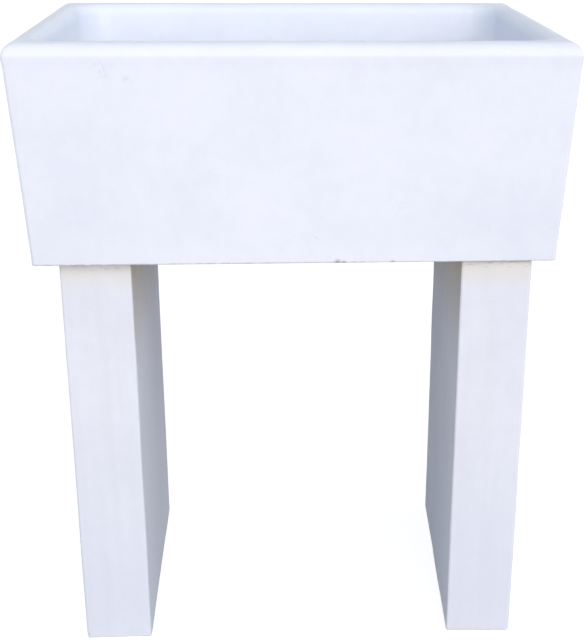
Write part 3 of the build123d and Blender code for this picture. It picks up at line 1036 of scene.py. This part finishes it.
bars = ["rim_hoop", "wall_hoops", "cross_wires", "long_wires"]
bars += [side + "_leg_" + kind for side in ("left", "right") for kind in ("bars", "links")]
dress_nodes(bars, bar_finish())

# %% Rubber and plastic
seal_pale, seal_deep = (0.13, 0.13, 0.13, 1), (0.06, 0.06, 0.06, 1)
plug_pale, plug_deep = (0.10, 0.10, 0.105, 1), (0.045, 0.045, 0.05, 1)
plastic_deep, plastic_pale = (0.80, 0.80, 0.785, 1), (0.86, 0.86, 0.85, 1)


def rubber(name, pale, deep, gloss):
    """Rubber with a faint bloom in patches."""
    finish = Finish(name)
    bloom = finish.noise(0.008, detail=4.0).between(0.45, 0.75)
    grain = finish.noise(0.0009, detail=2.0)
    return finish.surface(finish.blend(bloom, deep, pale), gloss + bloom * 0.2, grain, 0.0001)


def plastic_finish():
    """Moulded white plastic with a slightly uneven gloss."""
    finish = Finish("plastic_moulded")
    flow = finish.noise(0.02, detail=2.0).between(0.3, 0.7)
    colour = finish.blend(flow, plastic_deep, plastic_pale)
    return finish.surface(colour, 0.28 + flow * 0.08, flow, 0.0001)


seals = ["dish_seal", "body_seal", "tail_washer"]
dress_nodes(seals, rubber("rubber_seal", seal_pale, seal_deep, 0.55))
dress_nodes(["plug"], rubber("rubber_plug", plug_pale, plug_deep, 0.42))
dress_nodes(["waste_body", "tail_nut", "tail_pipe"], plastic_finish())

# %% [markdown]
# # Floor and light
#
# The photograph has a plain white ground, and soft daylight. The floor is a wide plane. Rays
# from the camera and reflections see it nearly white, and what light it still takes in draws
# the sink's soft shadow. Rays that carry light see a mid grey, so that the floor doesn't
# light the legs from below.


# %% Floor and background
def seen_directly(finish):
    """1 for the camera's rays, for reflections and for what is seen through glass."""
    seen = finish.node("LightPath", out="Is Camera Ray")
    for ray in ("Is Glossy Ray", "Is Transmission Ray"):
        seen = seen.maths("MAXIMUM", seen, finish.node("LightPath", out=ray))
    return seen


floor_span = 60.0
ground_glow = 0.86            # 1 is white
white = (1, 1, 1, 1)
shade_grey = (0.30, 0.30, 0.30, 1)      # what the sink's shadow takes away from the white
ground_grey = (0.395, 0.390, 0.412, 1)
nothing_selected()
bpy.ops.mesh.primitive_plane_add(size=floor_span, location=(0, 0, cad_low.z))
studio_floor = named("studio_floor")

ground = Finish("floor_white")
glow = ground.node("Emission", {}, {"Color": white, "Strength": ground_glow})
shade = ground.node("BsdfDiffuse", {}, {"Color": shade_grey})
seen_ground = ground.node("AddShader", {}, {0: glow, 1: shade})
dim_ground = ground.node("BsdfDiffuse", {}, {"Color": ground_grey})
surface = ground.mix(seen_directly(ground), dim_ground, seen_ground)
ground.node("OutputMaterial", {}, {"Surface": surface})
dress([studio_floor], ground.material)
print("floor", floor_span, "metres")

# %% [markdown]
# ## Sky and sun
#
# The daylight is a wide soft sun in front of the sink, a little from the right, and a sky that
# is brightest low down. The sky is brighter at the sides than in front, and most to the right,
# as the shading of the basin and the legs shows. Behind the sink a bright patch keeps its back
# from going dark. Overhead the sky is dim and blue. Lamps could do this too, but each would
# cast a shadow of its own in the basin, where the real shade has no edges.

# %% The sky's parts
front_colour = (0.92, 0.97, 1.0, 1)
front_level = 0.765           # of the horizon in front
back_colour = (1.0, 0.985, 0.955, 1)
back_level = 3.50             # of the patch behind
back_from, back_full = 0.85, 0.99       # how squarely behind the patch lies
right_colour = (0.94, 0.995, 1.0, 1)
right_level = 2.58            # of the horizon to the right
left_colour = (0.90, 0.965, 1.0, 1)
left_level = 1.64             # of the horizon to the left
sides_meet = 0.3              # left turns into right within this much of the middle
side_rise = 0.6               # how much further up the sky stays bright at the sides
zenith_colour = (0.56, 0.78, 1.0, 1)
zenith_level = 0.28
zenith_from = 0.55            # above this part of the way up, the sky is as dim as overhead


class Sky(Finish):
    """The world's network. Its coordinates are a direction, from -1 to 1 along each axis."""

    def __init__(self, tree):
        self.tree = tree
        self.where = self.node("TexCoord", out="Generated")

    def part(self, colour, level):
        """One part of the sky, of one colour and brightness."""
        return self.node("Background", {}, {"Color": colour, "Strength": level})


world = bpy.data.worlds.new("sky")
bpy.context.scene.world = world
world.use_nodes = True
world.node_tree.nodes.clear()
sky = Sky(world.node_tree)
across = sky.coordinate("X")
aside = across * across
behind = sky.coordinate("Y").between(back_from, back_full)
overhead = sky.coordinate("Z").between(0.0, zenith_from) * (1 - aside * side_rise)
left = sky.part(left_colour, left_level)
right = sky.part(right_colour, right_level)
sides = sky.mix(across.between(-sides_meet, sides_meet), left, right)
front = sky.part(front_colour, front_level)
middle = sky.mix(behind, front, sky.part(back_colour, back_level))
horizon = sky.mix(aside, middle, sides)
daylight = sky.mix(overhead, horizon, sky.part(zenith_colour, zenith_level))
seen_sky = sky.mix(seen_directly(sky), daylight, sky.part(white, 1.0))
sky.node("OutputWorld", {}, {"Surface": seen_sky})
print("sky has", len(world.node_tree.nodes), "nodes")

# %% Sun
sun_colour = (1.0, 0.936, 0.912)
sun_level = 0.652
sun_width = math.radians(50)
sun_from = Vector((0.12, -0.88, 0.40))

sun_data = bpy.data.lights.new("sun", "SUN")
sun_data.energy = math.pi * sun_level
sun_data.color = sun_colour
sun_data.angle = sun_width
sun = bpy.data.objects.new("sun", sun_data)
bpy.context.scene.collection.objects.link(sun)
sun.matrix_world = sun_from.to_track_quat("Z", "Y").to_matrix().to_4x4()
bpy.context.scene.view_settings.view_transform = "Standard"
print("sun from", [round(v, 2) for v in sun_from])
